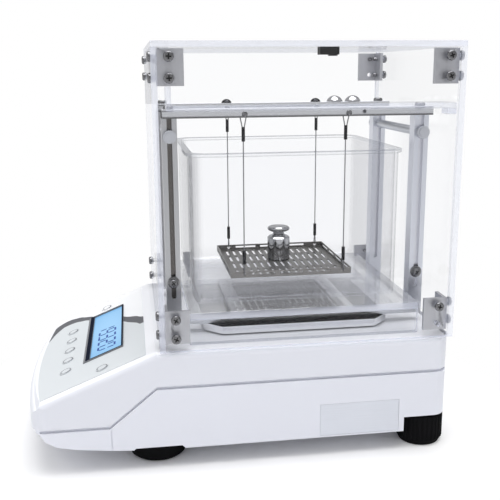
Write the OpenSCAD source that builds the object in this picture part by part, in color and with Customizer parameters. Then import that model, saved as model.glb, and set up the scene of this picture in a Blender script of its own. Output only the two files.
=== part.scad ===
// Metal purity analyzer: a precision balance with a clear draft shield, a water tank on a
// bridge, and a weighing frame that hangs a perforated basket in the tank.
// +Z is up, the control panel faces -Y, and the origin is the bottom centre of the whole object.

/* [Housing] */
// Width of the housing and of the draft shield
body_w = 240; // [220:1:270]
// Length of the control panel, from the draft shield to the nose
console_len = 123.4; // [114:0.2:140]
// Height of the deck that the draft shield stands on
deck_z = 109; // [100:1:125]
// Height of the flat underside above the table
under_z = 18; // [14:1:22]
// Height of the parting line along the rear
part_rear_z = 78; // [70:1:84]
// Height of the parting line at the nose
part_front_z = 44; // [40:1:50]
// Height of the dark groove between the two shells
groove_h = 3; // [1:0.5:4]
// Wall of the upper shell
upper_wall = 2.4; // [2:0.2:3]
// Wall of the lower shell
lower_wall = 4; // [3.4:0.2:5]
// Slope of the control panel
slope_deg = 21.9; // [18:0.5:24]
// Radius of the curved nose, seen from above
nose_r = 660; // [500:10:900]
// Radius of the upright corners
corner_r = 14; // [10:1:20]
// Radius along the long top edges
edge_r = 6; // [4:0.5:8]

/* [Draft shield] */
// Length of the draft shield, over its front and rear panels
shield_len = 268; // [260:1:280]
// Height of the draft shield, lid included
shield_h = 264; // [255:1:300]
// Thickness of the acrylic sheets
sheet_t = 5; // [4:0.5:6]

/* [Corner brackets] */
// Height of a corner bracket
bracket_h = 30; // [26:1:36]
// Width of each bracket leg
bracket_leg = 22; // [20:1:26]
// Thickness of the bracket metal
bracket_t = 3; // [2:0.5:4]
// Distance between the two screws of a leg
screw_pitch = 17.2; // [14:0.2:20]
// Diameter of the bracket screws
screw_d = 4; // [3:0.5:5]
// Diameter of their pan heads
head_d = 8.6; // [7:0.2:10]
// Height of their pan heads
head_h = 2.6; // [2:0.2:3]

/* [Inner ledge] */
// Depth of the clear ledge along the right side
ledge_d = 30; // [24:1:34]
// Height of the ledge above the deck
ledge_up = 207; // [200:1:212]

/* [Control panel] */
// Distance of the side keys from the edge of the housing
side_key_in = 28; // [24:1:32]
// Gap between the side keys and the display window
lcd_key_gap = 20.5; // [12:0.5:26]
// Height of the display window along the slope
lcd_l = 33; // [26:1:36]
// Distance of the display centre from the shield, along the slope
lcd_from_shield = 52.5; // [50:1:56]
// Diameter of a key
key_d = 11; // [9:0.5:13]
// Distance between the keys of the row
key_pitch = 28.6; // [24:0.2:32]
// Travel of a key
key_travel = 0.5; // [0.3:0.1:0.6]
// Height of a key above the overlay
key_up = 0.9; // [0.7:0.1:1.5]

/* [Feet] */
// Diameter of a front foot
front_foot_d = 52.4; // [44:0.2:56]
// Diameter of the ribbed wheel of a rear foot
wheel_d = 44; // [38:1:46]
// Height of the rear foot above the table
wheel_top = 29; // [24:1:32]
// Diameter of the threaded stems
stem_d = 10; // [8:1:12]

/* [Bridge and tank] */
// Gap between the bridge and a side panel
bridge_side_gap = 12; // [9:0.5:17]
// Gap between the bridge and the front or the rear panel
bridge_end_gap = 22.5; // [21.5:0.5:27]
// Height of the bridge above the deck
bridge_h = 29.5; // [27:0.5:34]
// Thickness of the bridge sheets
bridge_t = 6.5; // [5:0.5:8]
// Gap between the tank rim and a long edge of the bridge
tank_side_gap = 12; // [10:0.5:20]
// Gap between the tank rim and the front edge of the bridge
tank_front_gap = 1.5; // [1:0.5:6]
// Gap between the tank rim and the rear edge of the bridge
tank_rear_gap = 11.5; // [6:0.5:18]
// Height of the tank
tank_h = 140; // [120:1:142]
// Wall of the tank
tank_t = 3; // [2:0.5:4]
// Overhang of the tank rim
rim_out = 3; // [1.5:0.5:4]

/* [Weighing frame] */
// Gap between the octagonal pan and the legs of the bridge
pan_side_gap = 14.5; // [11:0.5:20]
// Length of the octagonal pan
pan_l = 178; // [170:1:184]
// Height of the pan
pan_h = 7; // [5:0.5:8]
// Gap between the bridge and the posts
post_gap = 3.2; // [2.6:0.2:4]
// Distance of the posts from the long edges of the pan
post_in = 19; // [17:0.5:20]
// Width of a post, as seen from the side
post_w = 13.6; // [12:0.2:14]
// Depth of a post, as seen from the front
post_d = 13; // [12:0.2:14]
// Height of the posts
post_h = 186.5; // [182:0.5:189]
// Width of the groove in a post
slot_w = 4.4; // [3:0.2:6]
// Height of the beams
beam_h = 8; // [7:0.5:10]
// Wall of the beam channels
beam_t = 1.5; // [1:0.1:2]
// Diameter of the tie rods
rod_d = 8.5; // [6:0.5:9]
// Diameter of the knurled rod nuts
nut_d = 12; // [10:0.5:13]
// Travel of the weighing frame at full load
weigh_travel = 0.5; // [0.2:0.1:0.5]

/* [Basket] */
// Length of the basket
basket_l = 117; // [106:1:124]
// Height of the basket rim
basket_h = 6; // [5:0.5:10]
// Thickness of the basket metal
basket_t = 1.2; // [0.8:0.1:1.6]
// Height of the basket floor above the bridge
basket_up = 19; // [12:0.5:30]
// Distance between the front and the rear wires
wire_pitch = 96; // [88:1:100]
// Diameter of the wires
wire_d = 1.1; // [0.8:0.1:1.4]

/* [Weight] */
// Diameter of the knob weight
weight_d = 23; // [16:0.5:28]
// Height of the knob weight
weight_h = 34.5; // [30:0.5:42]

/* [Hidden] */

$fn = 48;
eps = 0.01;
far = 600;

// Places along Y: outer face of the rear panel, of the front panel, and the chamber centre
total_len = console_len + shield_len + head_h;
rear_y = total_len/2 - head_h;
front_y = rear_y - shield_len;
mid_y = rear_y - shield_len/2;
nose_y = -total_len/2;
nose_c = nose_y + nose_r;
shell_rear_y = rear_y - 1;
half_w = body_w/2;

// Widths and lengths that follow from the room inside the panels
bridge_w = body_w - 2*sheet_t - 2*bridge_side_gap;
bridge_l = shield_len - 2*sheet_t - 2*bridge_end_gap;
tank_w = bridge_w - 2*rim_out - 2*tank_side_gap;
tank_l = bridge_l - 2*rim_out - tank_front_gap - tank_rear_gap;
tank_y = mid_y + (tank_front_gap - tank_rear_gap)/2;
pan_w = bridge_w - 2*bridge_t - 2*pan_side_gap;
post_x = pan_w/2 - post_in;
post_y = bridge_l/2 + post_gap + post_w/2;
side_x = half_w - side_key_in;
lcd_w = 2*(side_x - key_d/2 - lcd_key_gap);

// The slope leaves the deck a little before the shield
slope_y = front_y - 4;
panel_z0 = deck_z;
overlay_t = 0.5;
board_t = 1.6;
board_down = 9;

// The parting line falls from the rear height to the nose height over this stretch
fall_front = front_y - 46;
fall_rear = front_y - 4;
seam_gap = 0.2;
seam_w = 0.8;
seam_d = 0.7;
tongue_up = 4;

shield_top = deck_z + shield_h;
lid_z = shield_top - sheet_t;
inner_x = half_w - sheet_t;
inner_front = front_y + sheet_t;
inner_rear = rear_y - sheet_t;

bracket_low_z = deck_z + 6;
bracket_high_z = lid_z - 1 - bracket_h;
bracket_hole_d = screw_d + 0.4;
bracket_screw_in = 9.5;
screw_len = 12;

frame_y = mid_y - 1.5;
pan_z = deck_z + 1.5;
pan_top = pan_z + pan_h;
pan_cut = 16;
pan_sheet = 1.5;
carrier_t = 4;
bar_y = 54;
bar_l = 14;
post_z = pan_top + carrier_t;
beam_z = post_z + post_h;
beam_top = beam_z + beam_h;
beam_front = frame_y - post_y - post_w/2 + 1;
beam_rear = frame_y + post_y + post_w/2 + 4;
rod_z = beam_z - 15.5;
rod_y = post_y;
nut_t = 6;
nut_x = post_x + post_d/2;
slot_end = post_z + 24;
slot_deep = 4;
slot_screw_z = post_z + 37.5;
washer_d = 11;
washer_t = 1;
spring_d = 8.6;
spring_t = 0.8;
clamp_d = 7.4;
clamp_h = 2.8;

beam_screw_d = 3;
beam_head_d = 9.5;
beam_head_h = 3.4;
spare_y = 62.5;
spare_d = 3.6;

pin_d = 2.4;
pin_head_d = 5.2;
pin_head_h = 1.6;
pin_z = beam_z + 3;
wire_y = frame_y - 1;
loop_r = 3.2;
leg_x = 0.8;
hang_gap = 0.35;

disc_d = 17.4;
disc_h = 6.4;
disc_mid = 79;
disc_pitch = 20;
cap_d = 11;
cap_h = 4;

wire_x = post_x - post_d/2 + beam_t + wire_d/2 + hang_gap;
bridge_top = deck_z + bridge_h;
basket_w = 2*wire_x + basket_t;
basket_z = bridge_top + basket_up;
basket_y = tank_y;
hook_z = basket_z + basket_t + 2.1;
weight_x = -8;
hook_hole_d = wire_d + 1.8;
low_loop_top = hook_z + 11;
high_loop_low = pin_z - 13;
sleeve_l = 12;
sleeve_d = 3.2;

tank_r = 17;
rim_t = 3;

foot_front_x = half_w - 38;
foot_front_y = front_y - 3.5;
foot_rear_x = half_w - 23;
foot_rear_y = rear_y - 20;

// Notch in the lower edge of the housing beside each front foot
notch_l = 47;
notch_h = 2.8;

stem_gap = 2.5;
spider_in = 42;
spider_span = pan_w/2 - spider_in;
spider_d = 8;
arm_w = 18;
arm_h = 8;
cell_z = deck_z - 59;
cell_h = 22;
cell_w = 26;
cell_l = 120;
cell_eye = 16;
cell_slit = 6;
cell_gap = weigh_travel + 0.3;

boss_x = half_w - 34;
boss_front_y = front_y - 66;
boss_rear_y = rear_y - 62;
boss_d = 10;
boss_split = part_front_z + 4;
shell_screw_d = 4;
shell_head_d = 7;
shell_head_up = 3;
shell_head_h = 2.6;
screw_room = 0.3;
head_room = 1;

acrylic = [0.88, 0.92, 0.97, 0.35];
steel = [0.75, 0.76, 0.78];
aluminium = [0.70, 0.71, 0.73];
shell_grey = [0.86, 0.88, 0.92];

// Housing forms

// Points along an arc round c, from angle a0 to a1 in n steps
function arc_points(c, r, a0, a1, n) =
    [for (i = [0:n]) c + r*[cos(a0 + (a1 - a0)*i/n), sin(a0 + (a1 - a0)*i/n)]];

// Plan of the housing, a rounded outline with a curved nose, drawn inset by t
module plan_outline(t) {
    r = corner_r - t;
    cx = half_w - corner_r;
    cy = nose_c - sqrt(pow(nose_r - corner_r, 2) - pow(cx, 2));
    back = shell_rear_y - corner_r;
    turn = atan2(cy - nose_c, cx);
    polygon(concat(
        arc_points([0, nose_c], nose_r - t, -180 - turn, turn, 24),
        arc_points([cx, cy], r, turn + 12, 0, 6),
        arc_points([cx, back], r, 0, 90, 6),
        arc_points([-cx, back], r, 90, 180, 6),
        arc_points([-cx, cy], r, 180, 168 - turn, 6)));
}

// Cross-section with rounded top corners, whose top is at height top
module arch(w, top, r) {
    polygon(concat([[-w/2, -far/2], [w/2, -far/2]],
        arc_points([w/2 - r, top - r], r, 0, 90, 6),
        arc_points([r - w/2, top - r], r, 90, 180, 6)));
}

// The arch drawn out along Y under the deck
module deck_tunnel(t) {
    translate([0, far/2, 0]) rotate([90, 0, 0])
        linear_extrude(far) arch(body_w - 2*t, deck_z - t, edge_r);
}

// The arch drawn out along the slope of the control panel
module slope_tunnel(t) {
    translate([0, slope_y, panel_z0]) rotate([slope_deg, 0, 0])
        translate([0, far/2, 0]) rotate([90, 0, 0])
            linear_extrude(far) arch(body_w - 2*t, -t, edge_r + 0.4);
}

// Revolved nose: an upright face with a rounded brow above
module nose_wheel(t) {
    r = nose_r - t + 0.05;
    brow = 9;
    brow_z = 55 - t/2;
    translate([0, nose_c, 0]) rotate_extrude($fn = 360)
        polygon(concat(
            [[0, 0], [r, 0]],
            [for (a = [0:10:60]) [r - brow + brow*cos(a), brow_z + brow*sin(a)]],
            [[r - 90, 200], [0, 200]]));
}

// Revolved chin of the lower shell, which rises towards the nose
module chin_wheel(t) {
    r = nose_r - 5 - t;
    translate([0, nose_c, 0]) rotate_extrude($fn = 360)
        polygon([[0, under_z + t], [r - 96, under_z + t], [r - 60, under_z + 2.6 + t],
            [r - 30, under_z + 6 + t], [r - 14, under_z + 9.5 + t], [r - 5, under_z + 15 + t],
            [r - 1, under_z + 21 + t], [r, under_z + 27 + t], [r, 200], [0, 200]]);
}

module upper_form(t) {
    intersection() {
        linear_extrude(far) plan_outline(t);
        deck_tunnel(t);
        slope_tunnel(t);
        nose_wheel(t);
    }
}

module lower_form(t) {
    intersection() {
        linear_extrude(far) plan_outline(t);
        chin_wheel(t);
    }
}

// Everything above the parting line when it is raised by up
module above_parting(up) {
    rotate([90, 0, 90]) translate([0, 0, -far/2]) linear_extrude(far)
        polygon([[-far, part_front_z + up], [fall_front, part_front_z + up],
            [fall_rear, part_rear_z + up], [far, part_rear_z + up], [far, 300], [-far, 300]]);
}

// Everything between the bottom and the parting line when it is raised by up
module below_parting(up) {
    rotate([90, 0, 90]) translate([0, 0, -far/2]) linear_extrude(far)
        polygon([[-far, part_front_z + up], [fall_front, part_front_z + up],
            [fall_rear, part_rear_z + up], [far, part_rear_z + up], [far, -10], [-far, -10]]);
}

module at_bosses() {
    for (s = [-1, 1], y = [boss_front_y, boss_rear_y]) translate([s*boss_x, y, 0]) children();
}

module both_sides() {
    children();
    mirror([1, 0, 0]) children();
}

// Puts its children in the frame of the control panel: X across, Y up the slope, Z outwards
module on_slope(x, d) {
    translate([0, slope_y, panel_z0]) rotate([slope_deg, 0, 0]) translate([x, -d, 0]) children();
}

// Places on the control panel, as distances across from the middle and down the slope
lcd_x = -2;
lcd_d = lcd_from_shield - 4/cos(slope_deg);
row_x = 8;
row_d = lcd_d + 40.7;
side_mid = 6;
side_d = lcd_d + 3;
key_places = concat([for (i = [-2:2]) [row_x + i*key_pitch, row_d]],
    [[side_mid - side_x, side_d], [side_mid + side_x, side_d]]);
key_gap = 0.35;
key_flange = 1.2;
key_rest = 0.35;
dome_h = 1.2;
dome_d = 5;

// Overlay of the panel: its margins, and its curved front edge
overlay_side = 8;
overlay_back = 9;
overlay_front = (slope_y - nose_y - 8.4)/cos(slope_deg);
overlay_r = nose_r*cos(slope_deg);

// Window frame: how far it stands out round the window, and its wider strip in front
frame_out = 1.2;
frame_strip = 3.8;
frame_slant = 3;
frame_lap = 0.5;
frame_h = 1.6;

// Fixings of the front board, and the board itself
standoff_d = 6;
standoff_x = lcd_w/2 + 6;
standoff_y = 22;
front_board_w = body_w - 32;
front_board_l = 74;

board_l = 84;
board_y0 = front_y - 44;
board_z = under_z + lower_wall + 9;
board_inset = 6;

plate_t = 6;
plate_w = 64;
plate_l = cell_l + 20;
cell_post_l = 34;

foot_gap = 1;
foot_boss_d = 18;
board_gap = 9;
board_w = 2*(foot_front_x - foot_boss_d/2 - board_gap);
foot_boss_h = 16;
stem_fit = 0.1;
wheel_gap = 1.6;
wheel_head = 3;

socket_x = half_w - 60;
socket_z = 46;
socket_d = 11;
socket_l = 15;
socket_fit = 0.1;
plug_d = 6.4;

label_w = 75;
label_h = 30.5;
label_t = 0.8;
label_y = mid_y + 47.5;
label_z = under_z + 17;
label_gap = 0.2;

// Room for a rear wheel in the corner of the lower shell, open to the side and the rear
module wheel_room(d, top) {
    translate([foot_rear_x, foot_rear_y, 0]) {
        cylinder(d = d, h = top);
        translate([0, -d/2, 0]) cube([60, d/2 + 60, top]);
        translate([-d/2, 0, 0]) cube([d/2 + 60, 60, top]);
    }
}

module lower_shell() {
    color(shell_grey) difference() {
        union() {
            difference() {
                intersection() {
                    lower_form(0);
                    below_parting(-groove_h);
                }
                lower_form(lower_wall);
            }
            // Tongue that stands behind the groove and reaches into the upper shell
            intersection() {
                difference() {
                    upper_form(upper_wall + seam_gap);
                    upper_form(lower_wall + 0.3);
                }
                below_parting(tongue_up);
                above_parting(-groove_h - 2.3);
            }
            // Pocket over each rear wheel, bosses of the case screws and standoffs of the board
            intersection() {
                union() {
                    both_sides()
                        wheel_room(wheel_d + 2*(wheel_gap + upper_wall), wheel_top + wheel_head + upper_wall);
                    at_bosses() cylinder(d = boss_d, h = boss_split - 0.3);
                    for (s = [-1, 1], y = [board_y0 + board_inset, board_y0 + board_l - board_inset])
                        translate([s*(board_w/2 - board_inset), y, under_z])
                            cylinder(d = standoff_d, h = board_z - under_z);
                    both_sides() translate([foot_front_x, foot_front_y, under_z])
                        cylinder(d = foot_boss_d, h = foot_boss_h);
                }
                lower_form(0);
            }
        }
        both_sides() {
            wheel_room(wheel_d + 2*wheel_gap, wheel_top + wheel_head);
            for (p = [[foot_rear_x, foot_rear_y], [foot_front_x, foot_front_y]])
                translate([p[0], p[1], 0]) cylinder(d = stem_d + 2*stem_fit, h = 60);
            // Upright seam at the front end of the fall
            translate([half_w, fall_front + 1, 0])
                cube([2*seam_d, seam_w, 2*(part_front_z + 8)], center = true);
            // Notch beside the front foot, with slanted ends
            translate([foot_front_x, foot_front_y, under_z - 1]) rotate([90, 0, 90]) linear_extrude(far)
                polygon([[-notch_l/2 - 1, 0], [notch_l/2 + 1, 0], [notch_l/2 - notch_h, notch_h + 1],
                    [-notch_l/2 + notch_h, notch_h + 1]]);
        }
        // Seat of the label plate
        translate([half_w - label_t, label_y - label_w/2 - label_gap, label_z - label_h/2 - label_gap])
            cube([2*label_t, label_w + 2*label_gap, label_h + 2*label_gap]);
        at_bosses() {
            cylinder(d = shell_screw_d + 2*screw_room, h = boss_split);
            cylinder(d = shell_head_d + 2*head_room, h = under_z + shell_head_up);
        }
        translate([socket_x, shell_rear_y + 1, socket_z]) rotate([90, 0, 0])
            cylinder(d = socket_d + 2*socket_fit, h = 12);
    }
}

module upper_shell() {
    color("white") difference() {
        union() {
            difference() {
                intersection() {
                    upper_form(0);
                    above_parting(0);
                }
                upper_form(upper_wall);
            }
            intersection() {
                union() {
                    at_bosses() translate([0, 0, boss_split]) cylinder(d = boss_d, h = deck_z);
                    on_slope(lcd_x, lcd_d) for (sx = [-1, 1], sy = [-1, 1])
                        translate([sx*standoff_x, sy*standoff_y, board_t - board_down])
                            cylinder(d = standoff_d, h = board_down - board_t);
                }
                upper_form(1);
            }
        }
        // Window and key holes in the control panel
        window(-6, 12);
        key_holes(-6, 12);
        // Holes in the deck for the stems that carry the pan
        for (sx = [-1, 1], sy = [-1, 1]) translate([sx*spider_span, frame_y + sy*spider_span, deck_z - 10])
            cylinder(d = spider_d + 2*stem_gap, h = 20);
        at_bosses() translate([0, 0, boss_split - 1]) cylinder(d = shell_screw_d + 0.2, h = 20);
    }
}

// Cut for the display window and for the keys, between two heights over the panel
module window(low, h) {
    gap = 0.3;
    on_slope(lcd_x, lcd_d) translate([-lcd_w/2 - gap, -lcd_l/2 - gap, low])
        cube([lcd_w + 2*gap, lcd_l + 2*gap, h]);
}

module key_holes(low, h) {
    for (k = key_places) on_slope(k[0], k[1]) translate([0, 0, low]) cylinder(d = key_d + 2*key_gap, h = h);
}

// Thin membrane with a straight rear edge and a curved front edge
module panel_overlay() {
    color([0.87, 0.88, 0.90]) difference() {
        on_slope(0, 0) linear_extrude(overlay_t) intersection() {
            translate([-half_w + overlay_side, -overlay_front - 1])
                square([body_w - 2*overlay_side, overlay_front + 1 - overlay_back]);
            translate([0, overlay_r - overlay_front]) circle(r = overlay_r, $fn = 360);
        }
        window(-1, 3);
        key_holes(-1, 3);
    }
}

// Raised frame round the window, with a wide strip in front and a slanted front edge
module display_frame() {
    color([0.10, 0.12, 0.22]) on_slope(lcd_x, lcd_d) difference() {
        rotate([90, 0, 90]) translate([0, overlay_t, -lcd_w/2 - frame_out])
            linear_extrude(lcd_w + 2*frame_out) polygon([
                [-lcd_l/2 - frame_strip - frame_slant, 0], [lcd_l/2 + frame_out, 0],
                [lcd_l/2 + frame_out, frame_h], [-lcd_l/2 - frame_strip, frame_h]]);
        translate([-lcd_w/2 + frame_lap, -lcd_l/2 + frame_lap, -1])
            cube([lcd_w - 2*frame_lap, lcd_l - 2*frame_lap, frame_h + 3]);
    }
}

module display() {
    color([0.35, 0.62, 0.95]) on_slope(lcd_x, lcd_d) translate([-lcd_w/2, -lcd_l/2, board_t - board_down])
        cube([lcd_w, lcd_l, board_down - board_t + overlay_t]);
}

// Board of the display and the keys, cut out round the bosses of the case screws
module front_board() {
    boss_room = 2;
    color([0.10, 0.40, 0.22]) {
        difference() {
            on_slope(0, lcd_d + 11) translate([-front_board_w/2, -front_board_l/2, -board_down])
                cube([front_board_w, front_board_l, board_t]);
            at_bosses() cylinder(d = boss_d + boss_room, h = far);
        }
        for (k = key_places) on_slope(k[0], k[1]) translate([0, 0, board_t - board_down - eps])
            cylinder(d = dome_d, h = dome_h);
    }
}

module main_board() {
    color([0.10, 0.40, 0.22]) {
        translate([-board_w/2, board_y0, board_z]) cube([board_w, board_l, board_t]);
        // Transformer, processor and connector block
        translate([-50, board_y0 + 14, board_z + board_t - eps]) cube([34, 30, 6]);
        translate([4, board_y0 + 30, board_z + board_t - eps]) cube([14, 14, 1.6]);
        translate([30, board_y0 + 60, board_z + board_t - eps]) cube([24, 8, 5]);
    }
}

module cell_base() {
    color(aluminium) translate([0, 0, under_z + lower_wall]) {
        translate([-plate_w/2, mid_y - plate_l/2, 0]) cube([plate_w, plate_l, plate_t]);
        translate([-cell_w/2, mid_y - cell_l/2, plate_t - eps])
            cube([cell_w, cell_post_l, cell_z - under_z - lower_wall - plate_t + eps]);
    }
}

// Single-point load cell with its binocular cut-out
module load_cell() {
    color(aluminium) difference() {
        translate([-cell_w/2, mid_y - cell_l/2, cell_z]) cube([cell_w, cell_l, cell_h]);
        for (s = [-1, 1]) translate([-cell_w, mid_y + s*cell_eye, cell_z + cell_h/2])
            rotate([0, 90, 0]) cylinder(d = cell_eye, h = 2*cell_w);
        translate([-cell_w, mid_y - cell_eye, cell_z + cell_h/2 - cell_slit/2])
            cube([2*cell_w, 2*cell_eye, cell_slit]);
    }
}

module power_socket() {
    color([0.08, 0.08, 0.09]) translate([socket_x, shell_rear_y, socket_z]) rotate([90, 0, 0]) difference() {
        cylinder(d = socket_d, h = socket_l);
        translate([0, 0, -1]) cylinder(d = plug_d, h = 11);
    }
}

module shell_screws() {
    color(steel) at_bosses() {
        translate([0, 0, under_z + shell_head_up - shell_head_h]) cylinder(d = shell_head_d, h = shell_head_h);
        translate([0, 0, under_z + shell_head_up - eps])
            cylinder(d = shell_screw_d, h = boss_split - under_z + 8);
    }
}

// Weighing frame

module pan_spider() {
    hub = cell_z + cell_h + cell_gap;
    color(aluminium) {
        for (a = [45, -45]) translate([0, frame_y, hub + arm_h/2]) rotate(a)
            cube([2*spider_span*sqrt(2) + 10, arm_w, arm_h], center = true);
        for (sx = [-1, 1], sy = [-1, 1])
            translate([sx*spider_span, frame_y + sy*spider_span, hub + arm_h - eps])
                cylinder(d = spider_d, h = pan_top - pan_sheet - hub - arm_h + eps);
    }
}

module octagon(w, l, c) {
    polygon([[-w/2 + c, -l/2], [w/2 - c, -l/2], [w/2, -l/2 + c], [w/2, l/2 - c],
        [w/2 - c, l/2], [-w/2 + c, l/2], [-w/2, l/2 - c], [-w/2, -l/2 + c]]);
}

module pan() {
    color(steel) translate([0, frame_y, 0]) difference() {
        translate([0, 0, pan_z]) linear_extrude(pan_h) octagon(pan_w, pan_l, pan_cut);
        translate([0, 0, pan_z - 1]) linear_extrude(pan_h - pan_sheet + 1)
            octagon(pan_w - 2*pan_sheet, pan_l - 2*pan_sheet, pan_cut - 0.6*pan_sheet);
    }
}

// Two rails that carry the posts and two bars that lie across the pan
module carrier() {
    rail_l = 2*post_y + post_w;
    color(aluminium) translate([0, frame_y, pan_top]) {
        for (s = [-1, 1]) translate([s*post_x - post_d/2, -rail_l/2, 0]) cube([post_d, rail_l, carrier_t]);
        for (s = [-1, 1]) translate([-post_x, s*bar_y - bar_l/2, 0]) cube([2*post_x, bar_l, carrier_t]);
    }
}

// Upright bar with a blind groove in both broad faces and holes for rod and screws
module post(sx, sy) {
    color(aluminium) translate([sx*post_x, frame_y + sy*post_y, 0]) difference() {
        translate([-post_d/2, -post_w/2, post_z]) cube([post_d, post_w, post_h]);
        for (s = [-1, 1]) translate([s*post_d/2, 0, 0]) {
            translate([-slot_deep, -slot_w/2, slot_end]) cube([2*slot_deep, slot_w, post_h]);
            translate([-slot_deep, 0, slot_end]) rotate([0, 90, 0]) cylinder(d = slot_w, h = 2*slot_deep);
        }
        translate([-post_d, 0, rod_z]) rotate([0, 90, 0]) cylinder(d = rod_d + 0.1, h = 2*post_d);
        translate([0, 0, beam_z - 8]) cylinder(d = beam_screw_d + 0.2, h = 20);
    }
}

module post_front_right() { post(1, -1); }
module post_front_left() { post(-1, -1); }
module post_rear_right() { post(1, 1); }
module post_rear_left() { post(-1, 1); }

// Inverted channel with holes for the post screws and the hanger pins
module beam(s) {
    color(aluminium) translate([s*post_x, 0, beam_z]) difference() {
        translate([-post_d/2, beam_front, 0]) cube([post_d, beam_rear - beam_front, beam_h]);
        translate([-post_d/2 + beam_t, beam_front - 1, -1])
            cube([post_d - 2*beam_t, beam_rear - beam_front + 2, beam_h - beam_t + 1]);
        for (sy = [-1, 1]) translate([0, frame_y + sy*post_y, 0])
            cylinder(d = beam_screw_d + 0.4, h = 20);
        for (sy = [-1, 1]) translate([-20, wire_y + sy*wire_pitch/2, pin_z - beam_z])
            rotate([0, 90, 0]) cylinder(d = pin_d + 0.1, h = 40);
        // Spare hole in the outer wall
        translate([s*post_d/2, wire_y + spare_y, beam_h/2]) rotate([0, 90, 0])
            cylinder(d = spare_d, h = post_d/2, center = true);
    }
}

module beam_right() { beam(1); }
module beam_left() { beam(-1); }

module tie_rod(s) {
    reach = post_x + post_d/2 + nut_t + 1;
    color(aluminium) translate([-reach, frame_y + s*rod_y, rod_z]) rotate([0, 90, 0])
        cylinder(d = rod_d, h = 2*reach);
}

module tie_rod_front() { tie_rod(-1); }
module tie_rod_rear() { tie_rod(1); }

// Knurled nuts on the ends of the tie rods
module rod_nuts() {
    teeth = 20;
    color(steel) for (sx = [-1, 1], sy = [-1, 1])
        translate([sx*nut_x, frame_y + sy*rod_y, rod_z]) rotate([0, sx*90, 0]) difference() {
            linear_extrude(nut_t) difference() {
                circle(d = nut_d);
                for (i = [0:teeth - 1]) rotate(i*360/teeth) translate([nut_d/2, 0]) rotate(45)
                    square(0.8, center = true);
            }
            translate([0, 0, -1]) cylinder(d = rod_d + 0.04, h = nut_t + 2);
        }
}

// Pan head with a rounded crown, its underside at z = 0
module pan_head(d, h) {
    rotate_extrude() polygon(concat([[0, 0], [d/2, 0], [d/2, h*0.35]],
        [for (a = [20:20:80]) [d/2*0.72 + d/2*0.28*cos(a), h*0.35 + h*0.65*sin(a)]], [[0, h]]));
}

module beam_screws() {
    color(steel) for (sx = [-1, 1], sy = [-1, 1])
        translate([sx*post_x, frame_y + sy*post_y, beam_top]) {
            pan_head(beam_head_d, beam_head_h);
            translate([0, 0, -beam_h - 6]) cylinder(d = beam_screw_d, h = beam_h + 6 + eps);
        }
}

// Clamp screw and washers in the groove of each post
module post_screws() {
    color(steel) for (sx = [-1, 1], sy = [-1, 1])
        translate([sx*(post_x + post_d/2), frame_y + sy*post_y, slot_screw_z]) rotate([0, sx*90, 0]) {
            cylinder(d = washer_d, h = washer_t);
            translate([0, 0, washer_t - eps]) cylinder(d = spring_d, h = spring_t);
            translate([0, 0, washer_t + spring_t - 2*eps]) pan_head(clamp_d, clamp_h);
            translate([0, 0, -slot_deep + 0.3]) cylinder(d = slot_w - 0.6, h = slot_deep);
        }
}

// Cross pins in the beams, from which the wires hang
module hanger_pins() {
    color(steel) for (sx = [-1, 1], sy = [-1, 1])
        translate([sx*post_x, wire_y + sy*wire_pitch/2, pin_z]) rotate([0, 90, 0]) {
            translate([0, 0, -post_d/2 - 0.8]) cylinder(d = pin_d, h = post_d + 1.6);
            translate([0, 0, post_d/2]) pan_head(pin_head_d, pin_head_h);
            translate([0, 0, -post_d/2]) rotate([180, 0, 0]) pan_head(pin_head_d, pin_head_h);
        }
}

// Domed disc with its flat underside at z = 0
module dome(d, h) {
    r = (d*d/4 + h*h)/(2*h);
    intersection() {
        translate([0, 0, h - r]) sphere(r);
        cylinder(d = d - 0.4, h = h);
    }
}

// Trim discs on the left beam: two large ones, and a small one over each wire
module trim_discs() {
    color([0.15, 0.15, 0.16]) translate([-post_x, wire_y, beam_top]) {
        for (d = [-1, 1]) translate([0, disc_mid + d*disc_pitch/2, 0]) dome(disc_d, disc_h);
        for (sy = [-1, 1]) translate([0, sy*wire_pitch/2, 0]) dome(cap_d, cap_h);
    }
}

// Basket suspension

// Loop of wire in the XZ plane: round at z = 0, with two legs that meet in the sleeve at height h
module wire_loop(h) {
    lean = atan((loop_r - leg_x)/(h - loop_r));
    leg_l = norm([loop_r - leg_x, h - loop_r]);
    translate([0, 0, loop_r]) rotate([90, 0, 0]) rotate([0, 0, 180]) rotate_extrude(angle = 180)
        translate([loop_r, 0]) circle(d = wire_d, $fn = 16);
    for (s = [-1, 1]) translate([s*loop_r, 0, loop_r]) {
        rotate([0, -s*lean, 0]) cylinder(d = wire_d, h = leg_l, $fn = 16);
        sphere(d = wire_d + 0.1, $fn = 16);
    }
}

module wire(sx, sy) {
    top = pin_z + pin_d/2 + hang_gap + wire_d/2;
    color(steel) translate([sx*wire_x, wire_y + sy*wire_pitch/2, 0]) {
        translate([0, 0, top]) rotate([180, 0, 90]) wire_loop(top - high_loop_low);
        translate([0, 0, hook_z]) wire_loop(low_loop_top - hook_z);
        translate([0, 0, high_loop_low - sleeve_l]) cylinder(d = sleeve_d, h = sleeve_l + 1);
        translate([0, 0, low_loop_top - 1]) cylinder(d = sleeve_d, h = sleeve_l + 1);
        translate([0, 0, low_loop_top + sleeve_l - 1])
            cylinder(d = wire_d, h = high_loop_low - low_loop_top - 2*sleeve_l + 2, $fn = 16);
    }
}

module wire_front_right() { wire(1, -1); }
module wire_front_left() { wire(-1, -1); }
module wire_rear_right() { wire(1, 1); }
module wire_rear_left() { wire(-1, 1); }

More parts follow.
